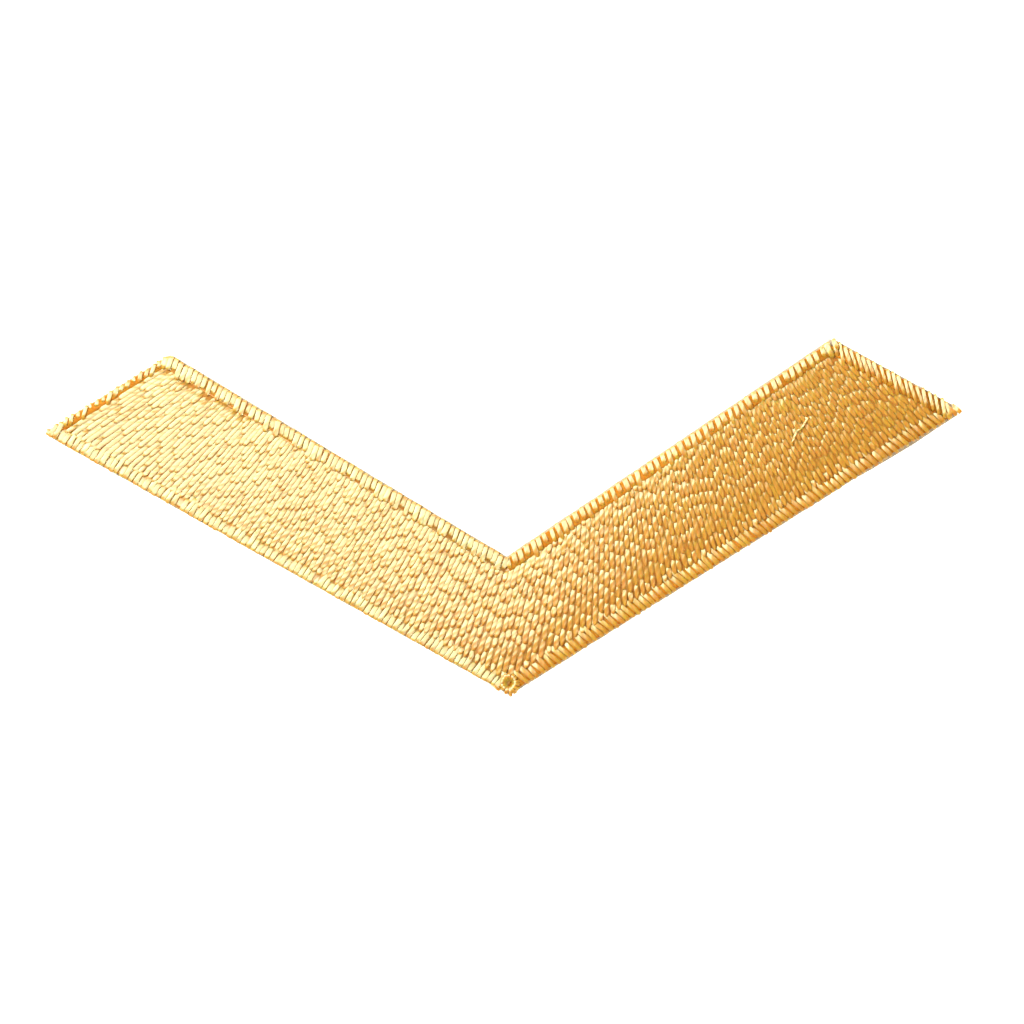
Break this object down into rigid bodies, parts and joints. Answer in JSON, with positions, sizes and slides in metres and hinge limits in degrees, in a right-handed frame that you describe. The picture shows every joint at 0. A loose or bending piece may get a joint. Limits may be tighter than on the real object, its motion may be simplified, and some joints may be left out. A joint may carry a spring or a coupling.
{
  "type": "rank chevron patch",
  "caption": "V-shaped rank bar embroidered in gold thread: a cut ground cloth, one turning fill-stitch field, and a satin-stitched edging with a tie-off at the point.",
  "frame": {"origin": "on the flat back, at the middle of the patch's length and height", "axes": "+X along the span to the right arm, +Y up the chevron from its point to its notch, +Z out of the stitched face"},
  "size_m": [0.076, 0.029, 0.0019],
  "materials": {
    "ground_cloth": "cream twill, cut close to the edging, matt with a slightly frayed edge",
    "fill_thread": "gold rayon embroidery thread in short overlapping fill stitches, silky",
    "edging_thread": "pale gold rayon embroidery thread in slanting satin stitches over a raised bead, silky"
  },
  "bodies": {
    "root": {"ground_cloth": "ground_cloth", "field": "fill_thread", "edging_right_lower": "edging_thread", "edging_right_end": "edging_thread", "edging_right_upper": "edging_thread", "edging_left_upper": "edging_thread", "edging_left_end": "edging_thread", "edging_left_lower": "edging_thread", "tie_off": "edging_thread"}
  },
  "joints": []
}
